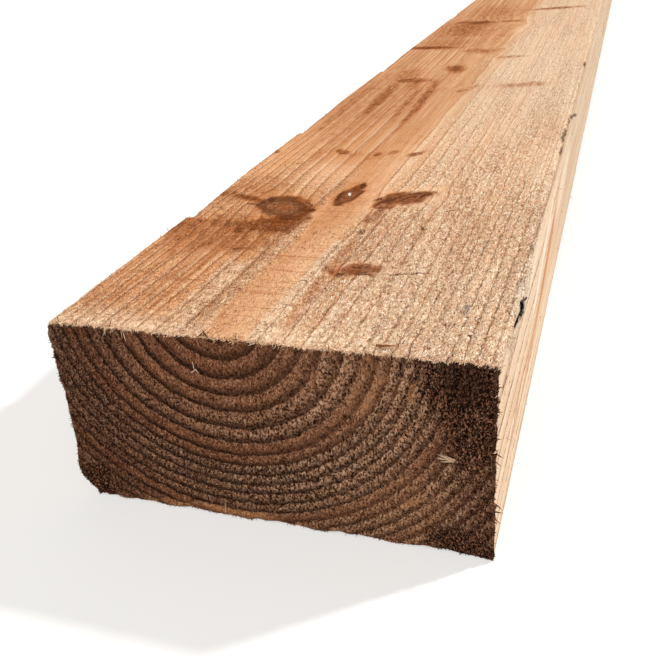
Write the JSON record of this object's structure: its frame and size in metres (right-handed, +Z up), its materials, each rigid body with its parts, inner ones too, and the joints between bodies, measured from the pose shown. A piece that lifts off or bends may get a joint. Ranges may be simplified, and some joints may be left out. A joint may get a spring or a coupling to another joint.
{
  "type": "railway sleeper",
  "caption": "Sawn softwood railway sleeper: one long rectangular baulk with a corner of wane, torn arrises, knots and end-grain rings.",
  "frame": {"origin": "centre of the underside, on the floor the sleeper lies on", "axes": "+Y along the grain, away from the end with the wane; +Z up through the thickness; +X across the width, away from the wane"},
  "size_m": [0.2, 2.4, 0.095],
  "materials": {
    "sawn_softwood": "rough sawn"
  },
  "bodies": {
    "root": {"sleeper": "sawn_softwood"}
  },
  "joints": []
}
